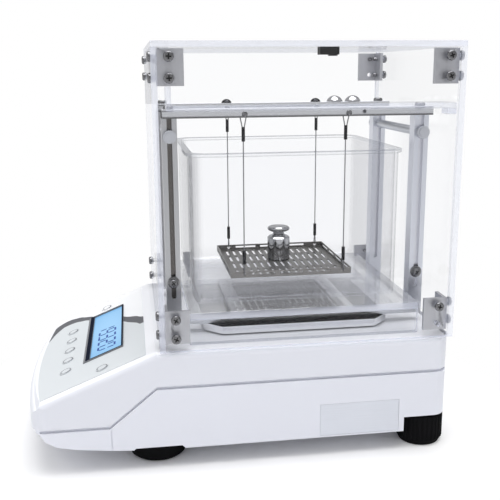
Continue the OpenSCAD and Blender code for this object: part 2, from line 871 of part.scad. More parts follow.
// Perforated basket: a slotted floor with a slotted rim
module basket() {
    floor_slot = [21, 2.6];
    end_slot = 24;
    side_slot = 22;
    rim_slot_h = 2;
    slot_z = basket_h/2 + 0.6;
    cols = 4;
    rows = 15;
    step_x = (basket_w - 8)/cols;
    step_y = (basket_l - 12)/rows;
    color(steel) translate([0, basket_y, basket_z]) difference() {
        union() {
            linear_extrude(basket_t) difference() {
                square([basket_w, basket_l], center = true);
                for (i = [0:cols - 1], j = [0:rows - 1])
                    translate([(i - (cols - 1)/2)*step_x, (j - (rows - 1)/2)*step_y])
                        square(floor_slot, center = true);
            }
            linear_extrude(basket_h) difference() {
                square([basket_w, basket_l], center = true);
                square([basket_w - 2*basket_t, basket_l - 2*basket_t], center = true);
            }
        }
        for (i = [-1.5:1.5]) translate([i*(end_slot + 3), 0, slot_z])
            cube([end_slot, basket_l + 2, rim_slot_h], center = true);
        for (s = [-1, 1], j = [-1:1]) translate([s*basket_w/2, j*(side_slot + 5), slot_z])
            cube([6, side_slot, rim_slot_h], center = true);
        for (sy = [-1, 1]) translate([-basket_w, wire_y - basket_y + sy*wire_pitch/2, hook_z - basket_z])
            rotate([0, 90, 0]) cylinder(d = hook_hole_d, h = 2*basket_w);
    }
}

// Knob weight: a body, a waist and a round head
module knob_weight() {
    r = weight_d/2;
    body = weight_h*0.70;
    color(steel) translate([weight_x, basket_y, basket_z + basket_t]) rotate_extrude()
        polygon(concat([[0, 0], [r - 0.8, 0], [r, 0.8], [r, body - 1.5], [r - 1.5, body], [r*0.62, body]],
            [for (a = [0:30:180]) [r*0.62 - 1.6*sin(a), body + 1 + (weight_h - body - 6)*a/180]],
            [for (a = [-60:30:80]) [r*0.62 + 0.38*r*cos(a), weight_h - 2.6 + 2.6*sin(a)]],
            [[0, weight_h]]));
}

// Bridge and tank

module bridge_plate() {
    color(acrylic) translate([-bridge_w/2, mid_y - bridge_l/2, bridge_top - bridge_t])
        cube([bridge_w, bridge_l, bridge_t]);
}

module bridge_leg(s) {
    color(acrylic) translate([s*(bridge_w - bridge_t)/2 - bridge_t/2, mid_y - bridge_l/2, deck_z])
        cube([bridge_t, bridge_l, bridge_h - bridge_t]);
}

module bridge_leg_right() { bridge_leg(1); }
module bridge_leg_left() { bridge_leg(-1); }

// Plan with four rounded corners
module rounded_plan(w, l, r) {
    polygon(concat(
        arc_points([w/2 - r, l/2 - r], r, 0, 90, 8),
        arc_points([r - w/2, l/2 - r], r, 90, 180, 8),
        arc_points([r - w/2, r - l/2], r, 180, 270, 8),
        arc_points([w/2 - r, r - l/2], r, 270, 360, 8)));
}

// Side view of a box that is rounded at the bottom only
module rounded_foot(w, h, r) {
    polygon(concat([[w/2, h], [-w/2, h]],
        arc_points([r - w/2, r], r, 180, 270, 7),
        arc_points([w/2 - r, r], r, 270, 360, 7)));
}

// Moulded tank form of a width, a length and a height, rounded at its corners and its bottom
module tank_form(w, l, h, r) {
    intersection() {
        linear_extrude(h) rounded_plan(w, l, r);
        translate([0, l, 0]) rotate([90, 0, 0]) linear_extrude(2*l) rounded_foot(w, h + 1, r - 1);
        translate([-w, 0, 0]) rotate([90, 0, 90]) linear_extrude(2*w) rounded_foot(l, h + 1, r - 3);
    }
}

module tank() {
    color(acrylic) translate([0, tank_y, bridge_top]) difference() {
        union() {
            tank_form(tank_w, tank_l, tank_h, tank_r);
            translate([0, 0, tank_h - rim_t]) linear_extrude(rim_t)
                rounded_plan(tank_w + 2*rim_out, tank_l + 2*rim_out, tank_r + rim_out);
        }
        translate([0, 0, tank_t])
            tank_form(tank_w - 2*tank_t, tank_l - 2*tank_t, tank_h, tank_r - tank_t);
    }
}

// Draft shield

// Places of the bracket corners: sides in X, ends in Y, and the two heights
module at_brackets() {
    for (sx = [0, 1], sy = [0, 1], z = [bracket_low_z, bracket_high_z])
        translate([0, mid_y, z]) mirror([sx, 0, 0]) mirror([0, sy, 0])
            translate([inner_x, shield_len/2 - sheet_t, 0]) children();
}

// Screw places of one bracket, with Z pointing out through the sheet
module at_leg_screws() {
    for (d = [-1, 1]) translate([0, 0, bracket_h/2 + d*screw_pitch/2]) {
        translate([0, -bracket_screw_in, 0]) rotate([0, 90, 0]) children();
        translate([-bracket_screw_in, 0, 0]) rotate([-90, 0, 0]) children();
    }
}

module corner_brackets() {
    color([0.55, 0.56, 0.60]) at_brackets() difference() {
        translate([-bracket_leg, -bracket_leg, 0]) cube([bracket_leg, bracket_leg, bracket_h]);
        translate([-bracket_leg - 1, -bracket_leg - 1, -1])
            cube([bracket_leg - bracket_t + 1, bracket_leg - bracket_t + 1, bracket_h + 2]);
        at_leg_screws() translate([0, 0, -8]) cylinder(d = bracket_hole_d, h = 16);
    }
}

// One screw, on the outside of a sheet whose inner face is at Z = 0
module bracket_screw() {
    translate([0, 0, sheet_t]) pan_head(head_d, head_h);
    translate([0, 0, sheet_t - screw_len]) cylinder(d = screw_d, h = screw_len + eps);
}

// Two screws are missing: the lower one in the side leg of the low rear right bracket
// and of the high rear left bracket
module bracket_screws() {
    color([0.35, 0.35, 0.37]) for (sx = [0, 1], sy = [0, 1], up = [0, 1], d = [-1, 1])
        translate([0, mid_y, up == 1 ? bracket_high_z : bracket_low_z]) mirror([sx, 0, 0]) mirror([0, sy, 0])
            translate([inner_x, shield_len/2 - sheet_t, bracket_h/2 + d*screw_pitch/2]) {
                if (sy == 1 || d == 1 || sx != up)
                    translate([0, -bracket_screw_in, 0]) rotate([0, 90, 0]) bracket_screw();
                translate([-bracket_screw_in, 0, 0]) rotate([-90, 0, 0]) bracket_screw();
            }
}

module screw_holes() {
    at_brackets() at_leg_screws() translate([0, 0, -8]) cylinder(d = bracket_hole_d, h = 20);
}

module shield_end(y) {
    color(acrylic) difference() {
        translate([-half_w, y, deck_z]) cube([body_w, sheet_t, shield_h - sheet_t]);
        screw_holes();
    }
}

module shield_side(x) {
    color(acrylic) difference() {
        translate([x, inner_front, deck_z]) cube([sheet_t, inner_rear - inner_front, shield_h - sheet_t]);
        screw_holes();
    }
}

module shield_front() { shield_end(front_y); }
module shield_rear() { shield_end(inner_rear); }
module shield_right() { shield_side(inner_x); }
module shield_left() { shield_side(-half_w); }

module lid() {
    color(acrylic) translate([-half_w, front_y, lid_z]) cube([body_w, shield_len, sheet_t]);
}

// Black block under the lid that locates it against the right panel
module lid_block() {
    block = [10, 16.4, 6.4];
    stud_d = 8;
    color([0.05, 0.05, 0.06]) translate([inner_x - block[0] - 0.4, mid_y + 15, lid_z]) {
        translate([0, -block[1]/2, -block[2]]) cube(block);
        translate([block[0]/2, block[1]/2 - stud_d/2 - 0.4, -block[2] - 1]) cylinder(d = stud_d, h = 2);
    }
}

ledge_z = deck_z + ledge_up;
ledge_front = inner_front + 7;
module ledge() {
    color(acrylic) {
        translate([inner_x - ledge_d, ledge_front, ledge_z]) cube([ledge_d, inner_rear - ledge_front, sheet_t]);
        translate([inner_x - ledge_d, ledge_front, ledge_z + sheet_t - eps])
            cube([ledge_d, 0.8*sheet_t, bracket_high_z - ledge_z - sheet_t + eps]);
    }
}

module ledge_block() {
    block = [15, 8, 5];
    color(acrylic) translate([inner_x - block[0], inner_rear - block[1], ledge_z - block[2]]) cube(block);
}

// Keys

// Plunger with a domed cap and a flange that holds it under the panel
module key(k) {
    low = dome_h + board_t - board_down + key_travel + 0.3;
    high = overlay_t + key_up;
    under = -upper_wall - key_rest;
    r = key_d/2;
    color([0.80, 0.81, 0.84]) on_slope(k[0], k[1]) rotate_extrude()
        polygon([[0, low], [r + key_flange, low], [r + key_flange, under], [r, under],
            [r, high - 0.4], [r - 0.4, high], [r - 1.2, high], [r - 1.8, high - 0.2], [0, high - 0.2]]);
}

module key_1() { key(key_places[0]); }
module key_2() { key(key_places[1]); }
module key_3() { key(key_places[2]); }
module key_4() { key(key_places[3]); }
module key_5() { key(key_places[4]); }
module key_left() { key(key_places[5]); }
module key_right() { key(key_places[6]); }

// Feet

// Front foot: a thick disc with rounded edges on a threaded stem
module foot_front(s) {
    r = front_foot_d/2;
    top = under_z - foot_gap;
    color([0.05, 0.05, 0.06]) translate([s*foot_front_x, foot_front_y, 0]) {
        rotate_extrude() polygon([[0, 0], [r - 3, 0], [r - 0.6, 2], [r, 5], [r, top - 3],
            [r - 2.5, top], [0, top]]);
        translate([0, 0, top - eps]) cylinder(d = stem_d, h = foot_boss_h - 2);
    }
}

// Rear foot: a ribbed wheel with a bevelled sole
module foot_rear(s) {
    ribs = 30;
    sole_h = 5;
    color([0.05, 0.05, 0.06]) translate([s*foot_rear_x, foot_rear_y, 0]) {
        cylinder(d1 = wheel_d - 6, d2 = wheel_d - 0.6, h = sole_h);
        translate([0, 0, sole_h - eps]) linear_extrude(wheel_top - sole_h) difference() {
            circle(d = wheel_d);
            for (i = [0:ribs - 1]) rotate(i*360/ribs) translate([wheel_d/2 + 0.5, 0]) circle(r = 1.4, $fn = 16);
        }
        translate([0, 0, wheel_top - eps]) cylinder(d = stem_d, h = 10);
    }
}

module foot_front_right() { foot_front(1); }
module foot_front_left() { foot_front(-1); }
module foot_rear_right() { foot_rear(1); }
module foot_rear_left() { foot_rear(-1); }

module label_plate() {
    color([0.55, 0.58, 0.66]) translate([half_w - label_t, label_y - label_w/2, label_z - label_h/2])
        cube([label_t, label_w, label_h]);
}

lower_shell();
upper_shell();
panel_overlay();
display_frame();
display();
label_plate();
front_board();
main_board();
cell_base();
load_cell();
power_socket();
shell_screws();
pan_spider();
pan();
carrier();
post_front_right();
post_front_left();
post_rear_right();
post_rear_left();
beam_right();
beam_left();
tie_rod_front();
tie_rod_rear();
rod_nuts();
beam_screws();
post_screws();
hanger_pins();
trim_discs();
wire_front_right();
wire_front_left();
wire_rear_right();
wire_rear_left();
basket();
knob_weight();
tank();
bridge_plate();
bridge_leg_right();
bridge_leg_left();
shield_front();
shield_rear();
shield_right();
shield_left();
lid();
lid_block();
corner_brackets();
bracket_screws();
ledge();
ledge_block();
key_1();
key_2();
key_3();
key_4();
key_5();
key_left();
key_right();
foot_front_right();
foot_front_left();
foot_rear_right();
foot_rear_left();
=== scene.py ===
# %% [markdown]
# A density balance for precious metal, dressed around its CAD frame. The CAD model holds every
# piece at its real size, so this script gives each one its finish, rounds the edges that are
# rounded by hand or by tool on the real product, and models the small things a CAD node leaves
# plain: cross recesses, the digits of the display, key rings and fine trim.

# %% Load the frame
import math

import bmesh
import bpy
from mathutils import Matrix, Vector


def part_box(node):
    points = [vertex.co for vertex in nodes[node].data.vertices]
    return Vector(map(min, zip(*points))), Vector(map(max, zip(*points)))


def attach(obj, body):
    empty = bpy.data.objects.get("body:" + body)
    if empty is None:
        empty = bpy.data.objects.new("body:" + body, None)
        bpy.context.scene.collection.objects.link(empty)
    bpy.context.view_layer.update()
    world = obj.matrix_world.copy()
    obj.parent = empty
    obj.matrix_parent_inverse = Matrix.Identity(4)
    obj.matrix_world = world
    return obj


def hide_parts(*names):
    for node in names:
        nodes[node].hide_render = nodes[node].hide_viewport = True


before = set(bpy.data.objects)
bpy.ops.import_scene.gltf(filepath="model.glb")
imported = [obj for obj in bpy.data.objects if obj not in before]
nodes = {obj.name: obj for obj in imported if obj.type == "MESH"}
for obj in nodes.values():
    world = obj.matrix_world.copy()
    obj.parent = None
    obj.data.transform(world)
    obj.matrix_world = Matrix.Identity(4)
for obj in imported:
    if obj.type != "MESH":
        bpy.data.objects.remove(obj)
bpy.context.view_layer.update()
scene = bpy.context.scene
bpy.ops.object.select_all(action="DESELECT")
MM = 0.001
print("nodes in the frame:", len(nodes))

# %% [markdown]
# The camera stands to the right of the balance, a little in front of its middle, and looks down
# at it by about thirteen degrees. Its place was fitted to the corners of the draft shield. The
# lens follows from the focal length in pixels of the 500 pixel wide photograph.

# %% Camera
FOCAL_PX = 781.74
FRAME_PX = 500
SENSOR_MM = 36
EYE = Vector((0.7683, -0.0925, 0.3490))
AZIMUTH, ELEVATION, ROLL = (math.radians(a) for a in (81.35, 12.93, -0.38))


def camera_axes():
    """Right, up and back of the camera, from its azimuth, its tilt down and its roll."""
    ahead = Vector((-math.sin(AZIMUTH) * math.cos(ELEVATION),
                    math.cos(AZIMUTH) * math.cos(ELEVATION), -math.sin(ELEVATION)))
    level = Vector((math.cos(AZIMUTH), math.sin(AZIMUTH), 0))
    upright = level.cross(ahead)
    right = math.cos(ROLL) * level + math.sin(ROLL) * upright
    up = -math.sin(ROLL) * level + math.cos(ROLL) * upright
    return right, up, -ahead


camera_data = bpy.data.cameras.new("camera")
camera_data.sensor_width = SENSOR_MM
camera_data.lens = FOCAL_PX * SENSOR_MM / FRAME_PX
camera = bpy.data.objects.new("camera", camera_data)
scene.collection.objects.link(camera)
right, up, back = camera_axes()
camera.matrix_world = Matrix((
    (right.x, up.x, back.x, EYE.x),
    (right.y, up.y, back.y, EYE.y),
    (right.z, up.z, back.z, EYE.z),
    (0, 0, 0, 1)))
scene.camera = camera
scene.view_settings.view_transform = "Standard"
scene.cycles.transparent_max_bounces = 32
print("lens", round(camera_data.lens, 2), "mm")

# %% [markdown]
# Materials are written with a small helper. A Socket wraps one output of a node and overloads
# plus, minus, times and divide, so that a mask reads as arithmetic, and each operator adds the
# Math node that it stands for. Every other node comes from one method, node().


# %% Shader helper
class Socket:
    """One output of a node, with arithmetic on its value."""

    def __init__(self, shader, out):
        self.shader, self.out = shader, out

    def maths(self, operation, *others):
        """A Math node of this value and the others."""
        return self.shader.node("Math", "Value", {"operation": operation},
                                dict(enumerate((self,) + others)))

    def __add__(self, other):
        return self.maths("ADD", other)

    def __radd__(self, other):
        return self.maths("ADD", other)

    def __sub__(self, other):
        return self.maths("SUBTRACT", other)

    def __rsub__(self, other):
        return self.shader.node("Math", "Value", {"operation": "SUBTRACT"}, {0: other, 1: self})

    def __mul__(self, other):
        return self.maths("MULTIPLY", other)

    def __rmul__(self, other):
        return self.maths("MULTIPLY", other)

    def __truediv__(self, other):
        return self.maths("DIVIDE", other)

    def __pow__(self, other):
        return self.maths("POWER", other)

    def abs(self):
        return self.maths("ABSOLUTE")

    def sin(self):
        return self.maths("SINE")

    def above(self, edge, soft):
        """0 below the edge and 1 above it, with a ramp of width soft."""
        ramp = self.maths("SUBTRACT", edge).maths("DIVIDE", soft).maths("ADD", 0.5)
        ramp.out.node.use_clamp = True
        return ramp


class Shader:
    """A material's nodes around one Principled shader."""

    def __init__(self, name, **constants):
        self.material = bpy.data.materials.new(name)
        self.material.use_nodes = True
        self.tree = self.material.node_tree
        self.tree.nodes.clear()
        self.output = self.tree.nodes.new("ShaderNodeOutputMaterial")
        self.main = self.tree.nodes.new("ShaderNodeBsdfPrincipled")
        self.tree.links.new(self.main.outputs[0], self.output.inputs["Surface"])
        for socket, value in constants.items():
            self.main.inputs[socket.replace("_", " ")].default_value = value

    def node(self, kind, output, settings=None, inputs=None):
        """Adds a node of a kind, with its settings first and then its sockets."""
        made = self.tree.nodes.new("ShaderNode" + kind)
        for key, value in (settings or {}).items():
            if key == "stops":
                self.set_stops(made.color_ramp, value)
            else:
                setattr(made, key, value)
        for key, value in (inputs or {}).items():
            self.feed(made.inputs[key], value)
        return Socket(self, made.outputs[output])

    def set_stops(self, ramp, stops):
        """Places the colour stops of a ramp."""
        while len(ramp.elements) < len(stops):
            ramp.elements.new(0.5)
        for element, (place, colour) in zip(ramp.elements, stops):
            element.position = place
            element.color = colour

    def feed(self, socket, value):
        """Links a Socket or sets a plain value."""
        if isinstance(value, Socket):
            self.tree.links.new(value.out, socket)
        else:
            socket.default_value = value

    def give(self, name, value):
        """Feeds one input of the Principled shader."""
        self.feed(self.main.inputs[name], value)

    def place(self):
        """Object coordinates, which are metres in the frame of the whole object."""
        return self.node("TexCoord", "Object")

    def axes(self):
        """The X, Y and Z of the place, each a value."""
        return self.parted(self.place())

    def normals(self):
        """The direction of the surface on the piece's own axes."""
        return self.parted(self.node("TexCoord", "Normal"))

    def parted(self, vector):
        """The three parts of a vector."""
        split = self.tree.nodes.new("ShaderNodeSeparateXYZ")
        self.tree.links.new(vector.out, split.inputs[0])
        return [Socket(self, out) for out in split.outputs]

    def noise(self, scale, detail=3.0, stretch=(1, 1, 1), rough=0.5):
        """Noise between 0 and 1 at a scale in features per metre."""
        spot = self.node("Mapping", "Vector", {}, {"Vector": self.place(), "Scale": stretch})
        return self.node("TexNoise", "Fac", {}, {"Vector": spot, "Scale": scale, "Detail": detail,
                                                 "Roughness": rough})

    def blend(self, mask, first, second):
        """A colour that goes from first to second with the mask."""
        made = self.tree.nodes.new("ShaderNodeMix")
        made.data_type = "RGBA"
        self.feed(made.inputs["Factor"], mask)
        self.feed(made.inputs[6], first)
        self.feed(made.inputs[7], second)
        return Socket(self, made.outputs[2])

    def bump(self, height, depth, strength=1.0):
        """Gives the surface a bump of a depth in metres."""
        self.give("Normal", self.node("Bump", "Normal", {}, {
            "Height": height, "Distance": depth, "Strength": strength}))

    def put_on(self, *pieces):
        """Makes this the only material of each piece."""
        for piece in pieces:
            piece.data.materials.clear()
            piece.data.materials.append(self.material)


def rgb(red, green, blue):
    """A colour with full alpha."""
    return (red, green, blue, 1.0)


print("shader helper ready")

# %% [markdown]
# The real balance stands on a white studio sweep. Near the object the floor is plain white and
# keeps its soft shadow. Further out it fades into a flat white that only camera, mirror and
# clear-plastic rays see, so that the picture has no horizon and the light stays plain.

# %% Floor, world and lamps
FLOOR_SIZE = 16.0
FADE_START, FADE_END = 0.18, 0.31
FLOOR_DOWN = 0.0002
bpy.ops.mesh.primitive_grid_add(x_subdivisions=8, y_subdivisions=8, size=FLOOR_SIZE,
                                location=(0, 0, -FLOOR_DOWN))
floor = bpy.context.object
floor.name = "floor"
bpy.ops.object.transform_apply(location=True)

floor_paint = Shader("floor_paint", Base_Color=rgb(0.93, 0.93, 0.94), Roughness=0.85)
floor_paint.give("Roughness", 0.8 + 0.1 * floor_paint.noise(40.0))
reach = floor_paint.node("VectorMath", "Value", {"operation": "LENGTH"}, {0: floor_paint.place()})
glow = floor_paint.node("Emission", "Emission", {}, {"Color": rgb(1, 1, 1), "Strength": 1.0})
seen = floor_paint.node("LightPath", "Is Camera Ray")
seen = seen.maths("MAXIMUM", floor_paint.node("LightPath", "Is Glossy Ray"))
seen = seen.maths("MAXIMUM", floor_paint.node("LightPath", "Is Transmission Ray"))
fade = ((reach - FADE_START) / (FADE_END - FADE_START)).maths("MINIMUM", 1.0).maths("MAXIMUM", 0.0)
mixed = floor_paint.node("MixShader", "Shader", {}, {
    0: seen * fade, 1: Socket(floor_paint, floor_paint.main.outputs[0]), 2: glow})
floor_paint.feed(floor_paint.output.inputs["Surface"], mixed)
floor_paint.put_on(floor)

world = bpy.data.worlds.new("studio")
scene.world = world
world.use_nodes = True
world_tree = world.node_tree
sky = world_tree.nodes["Background"]
sky.inputs["Color"].default_value = rgb(1, 1, 1)
paths = world_tree.nodes.new("ShaderNodeLightPath")
either = world_tree.nodes.new("ShaderNodeMath")
either.operation = "MAXIMUM"
world_tree.links.new(paths.outputs["Is Camera Ray"], either.inputs[0])
world_tree.links.new(paths.outputs["Is Transmission Ray"], either.inputs[1])
level = world_tree.nodes.new("ShaderNodeMapRange")
AMBIENT = 0.62
level.inputs["To Min"].default_value = AMBIENT
level.inputs["To Max"].default_value = 1.0
world_tree.links.new(either.outputs[0], level.inputs["Value"])
world_tree.links.new(level.outputs[0], sky.inputs["Strength"])


def lamp(name, spot, aim, size, watts):
    """A square soft box that looks from a spot at an aim."""
    data = bpy.data.lights.new(name, "AREA")
    data.size = size
    data.energy = watts
    box = bpy.data.objects.new(name, data)
    scene.collection.objects.link(box)
    ray = Vector(aim) - Vector(spot)
    box.matrix_world = Matrix.Translation(spot) @ ray.to_track_quat("-Z", "Y").to_matrix().to_4x4()


lamp("top_softbox", (0.08, 0.1, 1.55), (0, 0.05, 0.1), 1.3, 25.0)
lamp("front_softbox", (0.9, -1.2, 0.75), (0, -0.1, 0.1), 0.9, 2.0)
print("floor", FLOOR_SIZE, "m, ambient", AMBIENT)

# %% [markdown]
# The two shells are moulded in a pale, satin white plastic. Moulded plastic is never perfectly
# even: its gloss drifts over the part and a very fine spark-eroded grain breaks the highlight.
# The two shells have nearly the same tone. The faces of the upper shell that look up are painted
# lighter, as painted light from above.


# %% Moulded housing plastic
def moulded(name, colour, gloss, grain=2600.0, depth=0.00002):
    """A moulded plastic with a faint drift in tone and gloss and a fine grain."""
    plastic = Shader(name, Roughness=gloss, IOR=1.49)
    drift = plastic.noise(9.0, 2.0)
    darker = tuple(c * 0.975 for c in colour[:3]) + (1.0,)
    plastic.tone = plastic.blend(drift, colour, darker)
    plastic.give("Base Color", plastic.tone)
    plastic.give("Roughness", gloss - 0.04 + 0.08 * plastic.noise(22.0))
    plastic.bump(plastic.noise(grain, 2.0), depth, 0.4)
    return plastic


def tint(paint, mask, colour):
    """Goes from a material's own tone to a colour with the mask."""
    paint.tone = paint.blend(mask, paint.tone, colour)
    paint.give("Base Color", paint.tone)


upper_plastic = moulded("upper_plastic", rgb(0.705, 0.72, 0.78), 0.34)
# Painted light: faces of the upper shell that look up get a lighter tone.
tint(upper_plastic, upper_plastic.normals()[2].above(0.7, 0.25), rgb(0.82, 0.83, 0.87))
upper_plastic.put_on(nodes["upper_shell"])
lower_plastic = moulded("lower_plastic", rgb(0.715, 0.73, 0.795), 0.38)
lower_plastic.put_on(nodes["lower_shell"])
print("housing plastics done")

# %% [markdown]
# The draft shield and the tank are clear acrylic. Seen through its broad face a sheet is almost
# invisible, and it only mirrors at a grazing angle. Its sawn and polished edges gather light and
# show as pale lavender bands. A transparent shader is mixed with a Principled one: the mix grows
# with the facing angle on broad faces, which are a mirror, and is fixed on the narrow ones, which
# are found by the direction of their normal. The bridge has a light haze on its broad face.
#
# The tank is thin and moulded, so its veil follows its own form instead: it is strongest at the
# foot, at the front end, along the two lines of the rim and where a wall is seen edge on.


# %% Clear acrylic
def acrylic(name, thick_axis, edge=0.42, face=0.006, rim=0.55):
    """Clear sheet whose thickness runs along one axis: 0, 1 or 2."""
    sheet = Shader(name, Roughness=0.06, IOR=1.49)
    sheet.give("Roughness", 0.03 + 0.04 * sheet.noise(30.0))
    clear = sheet.node("BsdfTransparent", "BSDF", {}, {"Color": rgb(0.994, 0.995, 0.997)})
    facing = sheet.node("LayerWeight", "Facing", {}, {"Blend": 0.5})
    narrow = 1.0 - sheet.normals()[thick_axis].abs().above(0.8, 0.2)
    sheet.give("Base Color", sheet.blend(narrow, rgb(0.96, 0.965, 0.98), rgb(0.76, 0.79, 0.90)))
    sheet.give("Metallic", 1.0 - narrow)
    sheen = (face + rim * facing ** 5.0).maths("MAXIMUM", narrow * edge)
    mixed = sheet.node("MixShader", "Shader", {}, {
        0: sheen, 1: clear, 2: Socket(sheet, sheet.main.outputs[0])})
    sheet.feed(sheet.output.inputs["Surface"], mixed)
    return sheet


side_sheet = acrylic("side_sheet", 0)
end_sheet = acrylic("end_sheet", 1)
flat_sheet = acrylic("flat_sheet", 2)
side_sheet.put_on(nodes["shield_right"], nodes["shield_left"],
                  nodes["bridge_leg_right"], nodes["bridge_leg_left"])
end_sheet.put_on(nodes["shield_front"], nodes["shield_rear"])
flat_sheet.put_on(nodes["lid"], nodes["ledge_block"])
ledge_sheet = acrylic("ledge_sheet", 2, edge=0.26)
ledge_sheet.put_on(nodes["ledge"])
bridge_sheet = acrylic("bridge_sheet", 2, edge=0.34, face=0.20, rim=1.6)
bridge_face = bridge_sheet.normals()[2].abs().above(0.8, 0.2)
bridge_sheet.give("Metallic", 0.85 * bridge_face)
bridge_sheet.put_on(nodes["bridge_plate"])

tank_low, tank_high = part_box("tank")
RIM_TALL = 0.0032
FOOT_UP, FOOT_FADE = 0.012, 0.016
FLOOR_UP = 0.02
TOP_LINE_HALF = 0.0007
LOW_LINE_DOWN, LOW_LINE_HALF = 0.003, 0.0005
tank_clear = Shader("tank_clear", Roughness=0.05, IOR=1.49, Metallic=0.7)
tank_clear.give("Roughness", 0.03 + 0.04 * tank_clear.noise(30.0))
ty, tz = tank_clear.axes()[1:]
at_rim = tz.above(tank_high.z - RIM_TALL, 0.0002)
at_foot = 1.0 - tz.above(tank_low.z + FOOT_UP, FOOT_FADE)
turned = tank_clear.node("LayerWeight", "Facing", {}, {"Blend": 0.5})
tank_clear.tone = tank_clear.blend(at_rim, rgb(0.20, 0.205, 0.235), rgb(0.34, 0.36, 0.41))
below = 1.0 - tz.above(tank_low.z + FLOOR_UP, 0.002)
on_floor = tank_clear.normals()[2].abs().above(0.7, 0.25) * below
tint(tank_clear, on_floor, rgb(0.90, 0.91, 0.95))
end_wall = tank_clear.normals()[1].abs().above(0.6, 0.35)
front_half = 1.0 - ty.above((tank_low.y + tank_high.y) / 2, 0.01)
veil = 0.006 + 0.85 * turned ** 5.0 + 0.06 * at_foot + (0.03 + 0.17 * front_half) * end_wall
top_line = 1.0 - (tz - tank_high.z).abs().above(TOP_LINE_HALF, 0.0003)
low_line = 1.0 - (tz - (tank_high.z - LOW_LINE_DOWN)).abs().above(LOW_LINE_HALF, 0.0003)
veil = veil.maths("MAXIMUM", 0.45 * top_line + 0.12 * low_line + 0.03 * at_rim)
tank_glass = tank_clear.node("BsdfTransparent", "BSDF", {}, {"Color": rgb(0.992, 0.993, 0.997)})
tank_clear.feed(tank_clear.output.inputs["Surface"], tank_clear.node("MixShader", "Shader", {}, {
    0: veil, 1: tank_glass, 2: Socket(tank_clear, tank_clear.main.outputs[0])}))
tank_clear.put_on(nodes["tank"])
print("acrylic done")

# %% [markdown]
# The weighing frame is drawn and milled aluminium with fine lines along each bar. The pan is
# polished steel, the basket and wires are plain stainless steel, and the screws are nickel
# plated. Each metal has its own direction and depth of marks.


# %% Metals
def bar_metal(name, colour, rough, stretch, lines=900.0, depth=0.00001):
    """A drawn metal whose fine lines run along the axis with the small stretch."""
    metal = Shader(name, Metallic=1.0)
    streak = metal.noise(lines, 2.0, stretch)
    cloud = metal.noise(25.0, 2.0)
    dark = tuple(c * 0.84 for c in colour[:3]) + (1.0,)
    metal.tone = metal.blend(streak * 0.5 + cloud * 0.5, colour, dark)
    metal.give("Base Color", metal.tone)
    metal.give("Roughness", rough - 0.06 + 0.12 * streak)
    metal.bump(streak, depth, 0.5)
    return metal


ALONG_X, ALONG_Y, ALONG_Z = (0.02, 1, 1), (1, 0.02, 1), (1, 1, 0.02)
post_metal = bar_metal("post_metal", rgb(0.52, 0.525, 0.545), 0.30, ALONG_Z)
beam_metal = bar_metal("beam_metal", rgb(0.66, 0.67, 0.70), 0.28, ALONG_Y)
rod_metal = bar_metal("rod_metal", rgb(0.60, 0.615, 0.66), 0.30, ALONG_X)
bracket_metal = bar_metal("bracket_metal", rgb(0.57, 0.575, 0.61), 0.46, ALONG_Z, 1400.0)
cast_metal = bar_metal("cast_metal", rgb(0.58, 0.585, 0.60), 0.45, (1, 1, 1), 500.0)
plated_metal = bar_metal("plated_metal", rgb(0.20, 0.20, 0.21), 0.22, (1, 1, 1), 700.0)
wire_metal = bar_metal("wire_metal", rgb(0.30, 0.30, 0.31), 0.33, ALONG_Z, 1600.0)
basket_metal = bar_metal("basket_metal", rgb(0.27, 0.262, 0.255), 0.34, ALONG_X, 1200.0)
pan_steel = bar_metal("pan_steel", rgb(0.95, 0.955, 0.97), 0.16, (1, 1, 1), 300.0, 0.000004)
mirror_steel = bar_metal("mirror_steel", rgb(0.48, 0.485, 0.50), 0.08, (1, 1, 1), 300.0, 0.000004)

# Painted shade in the front post grooves and painted light on the rear posts and their grooves, painted
# light and shade on the beams, the dark crimped sleeves of the wires and a painted dark reflection on
# top of the pan
post_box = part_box("post_front_right")
POST_X, POST_Y = (post_box[0].x + post_box[1].x) / 2, (post_box[0].y + post_box[1].y) / 2
REAR_POST_Y = (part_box("post_rear_right")[0].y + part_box("post_rear_right")[1].y) / 2
GROOVE_HALF, GROOVE_REACH = 0.0024, 0.0063
mx, my = post_metal.axes()[:2]
off_middle = (my - POST_Y).abs().maths("MINIMUM", (my - REAR_POST_Y).abs())
in_slot = 1.0 - off_middle.above(GROOVE_HALF, 0.0002)
inside = 1.0 - (mx.abs() - POST_X).abs().above(GROOVE_REACH, 0.0002)
# Painted light: the rear posts get a lighter tone than the front ones, though all four are one metal.
rear_painted_light = my.above(POST_Y + 0.1, 0.01)
tint(post_metal, rear_painted_light, rgb(0.68, 0.70, 0.76))
# Painted shade in the grooves of the front posts, painted light in the grooves of the rear posts.
groove_painted_shade_and_light = post_metal.blend(rear_painted_light, rgb(0.13, 0.122, 0.118), rgb(0.70, 0.71, 0.76))
tint(post_metal, in_slot * inside, groove_painted_shade_and_light)
bz = beam_metal.axes()[2]
BEAM_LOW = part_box("beam_right")[0].z
# Painted shade: a thin dark line along the side of the beams, as the shade of a rounded profile.
SHADE_LINE_UP, SHADE_LINE_HALF = 0.0064, 0.0004
beam_line_painted_shade = 1.0 - (bz - (BEAM_LOW + SHADE_LINE_UP)).abs().above(SHADE_LINE_HALF, 0.0003)
# Painted light: the top face of the beams is near white and mostly not metal.
beam_top_painted_light = beam_metal.normals()[2].above(0.8, 0.1)
tint(beam_metal, beam_top_painted_light, rgb(0.93, 0.94, 0.985))
beam_metal.give("Metallic", 1.0 - 0.9 * beam_top_painted_light)
